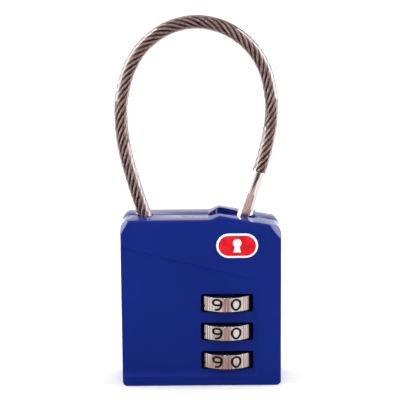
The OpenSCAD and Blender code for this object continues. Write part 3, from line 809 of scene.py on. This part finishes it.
# ---- Studio -------------------------------------------------------------------------------
def card(name, corners, mat):
    bm = bmesh.new()
    bm.faces.new([bm.verts.new(c) for c in corners])
    mesh = bpy.data.meshes.new(name)
    bm.to_mesh(mesh)
    bm.free()
    obj = bpy.data.objects.new(name, mesh)
    bpy.context.scene.collection.objects.link(obj)
    mesh.materials.append(mat)
    return obj


m, t, at = material("pale_painted_board")
n = add(t, "ShaderNodeTexNoise", {"Vector": at, "Scale": 3, "Detail": 2})
tint = add(t, "ShaderNodeValToRGB", {"Fac": n}, [(0.3, grey(0.62)), (0.7, grey(0.63))])
board = add(t, "ShaderNodeBsdfDiffuse", {"Color": tint, "Roughness": 0.5})
add(t, "ShaderNodeOutputMaterial", {"Surface": board})
floor = card("floor", [(-6, -6, 0), (6, -6, 0), (6, 6, 0), (-6, 6, 0)], m)

# A warm card lies in front, out of the camera's sight: the metal alone reflects it, the case sees it as black
m, t, at = material("warm_card")
xyz = add(t, "ShaderNodeSeparateXYZ", {"Vector": at})
away = add(t, "ShaderNodeMath", {0: xyz.outputs["Y"], 1: -0.34, 2: 0.012}, operation="MULTIPLY_ADD")
aside = add(t, "ShaderNodeMath", {0: xyz.outputs["X"]}, operation="ABSOLUTE")
share = add(t, "ShaderNodeMath", {0: aside, 1: away}, operation="DIVIDE")
fade = add(t, "ShaderNodeValToRGB", {"Fac": share}, [(0.75, srgb("#C4A9A0")), (1.0, grey(1))])
add(t, "ShaderNodeOutputMaterial", {"Surface": add(t, "ShaderNodeEmission", {"Color": fade})})
warm = card("warm_card", [(-0.4, -1.2, 0.0003), (0.4, -1.2, 0.0003), (0.4, 0, 0.0003), (-0.4, 0, 0.0003)], m)
warm.visible_camera = warm.visible_diffuse = warm.visible_shadow = warm.visible_transmission = False
metal_only = bpy.data.collections.new("metal_only")
for name in ("plug_tube", "number_dial_top", "number_dial_middle", "number_dial_bottom", "wire_rope"):
    metal_only.objects.link(bpy.data.objects[name])
warm.light_linking.receiver_collection = metal_only

# Pale surroundings, dim overhead, with a dark maroon room behind the camera
world = bpy.data.worlds.new("studio")
bpy.context.scene.world = world
world.use_nodes = True
t = world.node_tree
t.nodes.clear()
xyz = add(t, "ShaderNodeSeparateXYZ", {"Vector": add(t, "ShaderNodeTexCoord").outputs["Generated"]})
sky = add(t, "ShaderNodeValToRGB", {"Fac": xyz.outputs["Z"]}, [(0.3, grey(1.0)), (0.7, grey(0.25))])
front = add(t, "ShaderNodeMapRange", {"Value": xyz.outputs["Y"], "From Min": -0.75, "From Max": -0.96})
room = add(t, "ShaderNodeMix", {0: front, 6: sky, 7: (0.1, 0.055, 0.05, 1)}, data_type="RGBA")
add(t, "ShaderNodeOutputWorld", {
    "Surface": add(t, "ShaderNodeBackground", {"Color": room.outputs[2], "Strength": 1.0})})


def lamp(name, at, aim, width, height, power, glossy=True, lights=None):
    data = bpy.data.lights.new(name, "AREA")
    data.shape, data.size, data.size_y, data.energy = "RECTANGLE", width, height, power
    obj = bpy.data.objects.new(name, data)
    bpy.context.scene.collection.objects.link(obj)
    obj.location = at
    obj.rotation_mode = "QUATERNION"
    obj.rotation_quaternion = (Vector(aim) - Vector(at)).to_track_quat("-Z", "Y")
    obj.visible_camera, obj.visible_glossy = False, glossy
    if lights:
        obj.light_linking.receiver_collection = bpy.data.collections.new(name)
        obj.light_linking.receiver_collection.objects.link(lights)


lamp("left_panel", (-1.0, -0.02, 0.62), (0, -0.02, 0.3), 0.95, 1.2, 21)
lamp("right_panel", (1.0, -0.02, 0.62), (0, -0.02, 0.3), 0.95, 1.2, 21)
lamp("front_panel", (0, -0.8, 1.2), (0, 0, 0.03), 0.8, 0.8, 9, glossy=False)
lamp("floor_wash", (0, 1.1, 1.3), (0, 0.9, 0), 1.6, 1.6, 30, glossy=False, lights=floor)
bpy.context.scene.view_settings.view_transform = "Standard"
